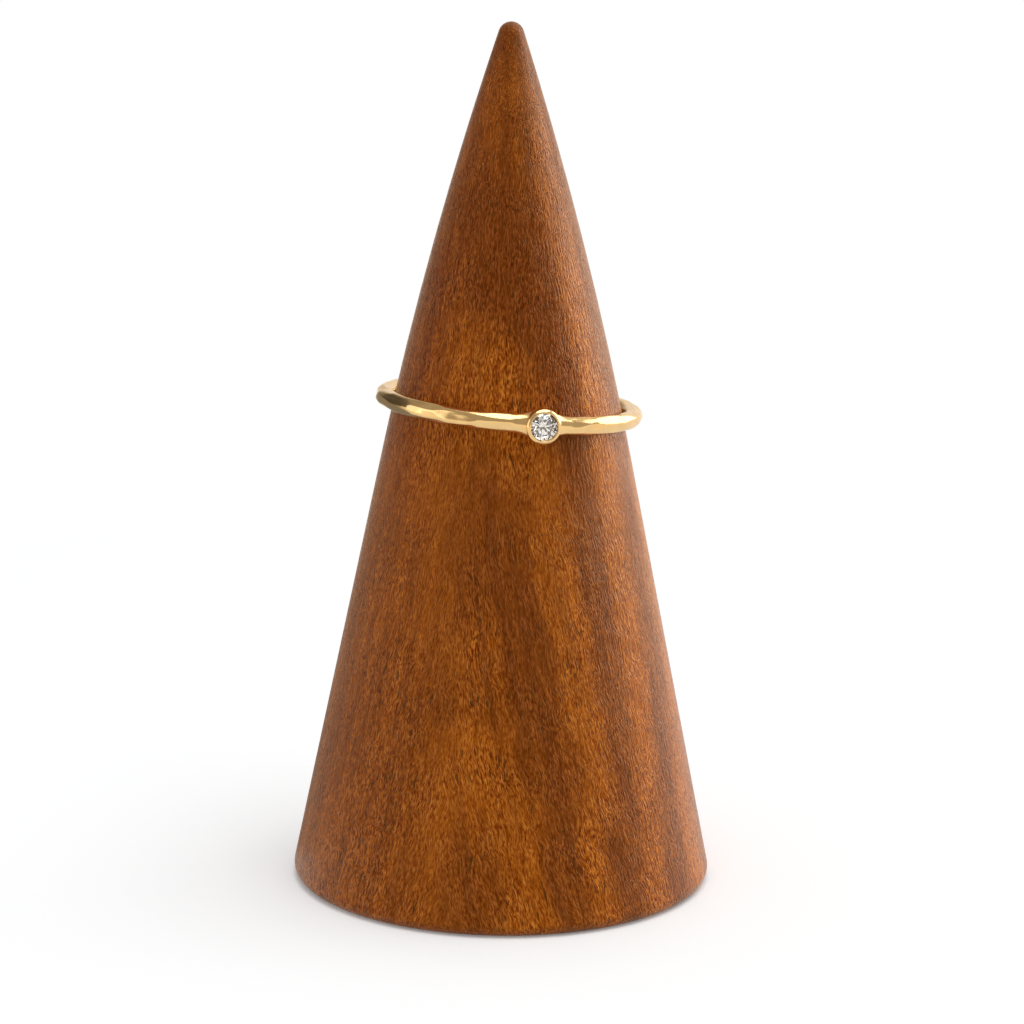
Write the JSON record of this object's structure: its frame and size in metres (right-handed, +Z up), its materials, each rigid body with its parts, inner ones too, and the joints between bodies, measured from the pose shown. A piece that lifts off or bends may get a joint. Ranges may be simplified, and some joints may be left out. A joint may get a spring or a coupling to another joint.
{
  "type": "stackable ring on a cone ring stand",
  "caption": "Slim round-wire gold stacking ring with a small round clear stone in a bezel cup, resting on a plain turned wooden cone.",
  "frame": {"origin": "centre of the cone's flat foot, on the surface that it stands on", "axes": "+Z up along the cone's axis, -Y towards the side where the ring's stone faces, +X to the right seen from there"},
  "size_m": [0.031, 0.031, 0.0638],
  "materials": {
    "gold": "hammered yellow gold with a soft polish",
    "clear_stone": "faceted and polished",
    "wood": "satin oiled reddish-brown hardwood"
  },
  "bodies": {
    "root": {"band_with_bezel": "gold", "stone": "clear_stone", "cone_stand": "wood"}
  },
  "joints": []
}
